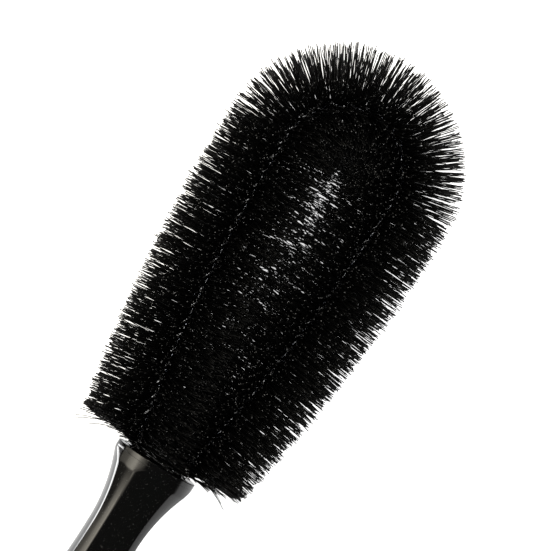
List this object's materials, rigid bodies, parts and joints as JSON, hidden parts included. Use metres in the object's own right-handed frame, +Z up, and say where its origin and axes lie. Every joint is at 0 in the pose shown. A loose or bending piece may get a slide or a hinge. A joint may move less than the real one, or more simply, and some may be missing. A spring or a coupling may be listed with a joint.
{
  "type": "wheel brush",
  "caption": "Loop-shaped wheel brush: black bristles on a twisted wire loop, held in a round collar on a long handle with four flats and a hanging hole.",
  "frame": {"origin": "middle of the bounding box's base, on the surface that the brush lies on", "axes": "+X from the handle to the tip of the head, +Z up, away from the surface that the bristles rest on"},
  "size_m": [0.4375, 0.112, 0.055],
  "materials": {
    "handle_plastic": "gloss",
    "bristle_nylon": "satin",
    "wire_steel": "satin"
  },
  "bodies": {
    "root": {"nose_cap": "handle_plastic", "handle_body": "handle_plastic", "end_cap": "handle_plastic", "left_ferrule": "wire_steel", "right_ferrule": "wire_steel", "wire_strand_a": "wire_steel", "wire_strand_b": "wire_steel", "left_bristles_1": "bristle_nylon", "left_bristles_2": "bristle_nylon", "left_bristles_3": "bristle_nylon", "left_bristles_4": "bristle_nylon", "left_bristles_5": "bristle_nylon", "left_bristles_6": "bristle_nylon", "right_bristles_1": "bristle_nylon", "right_bristles_2": "bristle_nylon", "right_bristles_3": "bristle_nylon", "right_bristles_4": "bristle_nylon", "right_bristles_5": "bristle_nylon", "right_bristles_6": "bristle_nylon", "tip_bristles_1": "bristle_nylon", "tip_bristles_2": "bristle_nylon", "tip_bristles_3": "bristle_nylon", "tip_bristles_4": "bristle_nylon", "tip_bristles_5": "bristle_nylon", "tip_bristles_6": "bristle_nylon"}
  },
  "joints": []
}
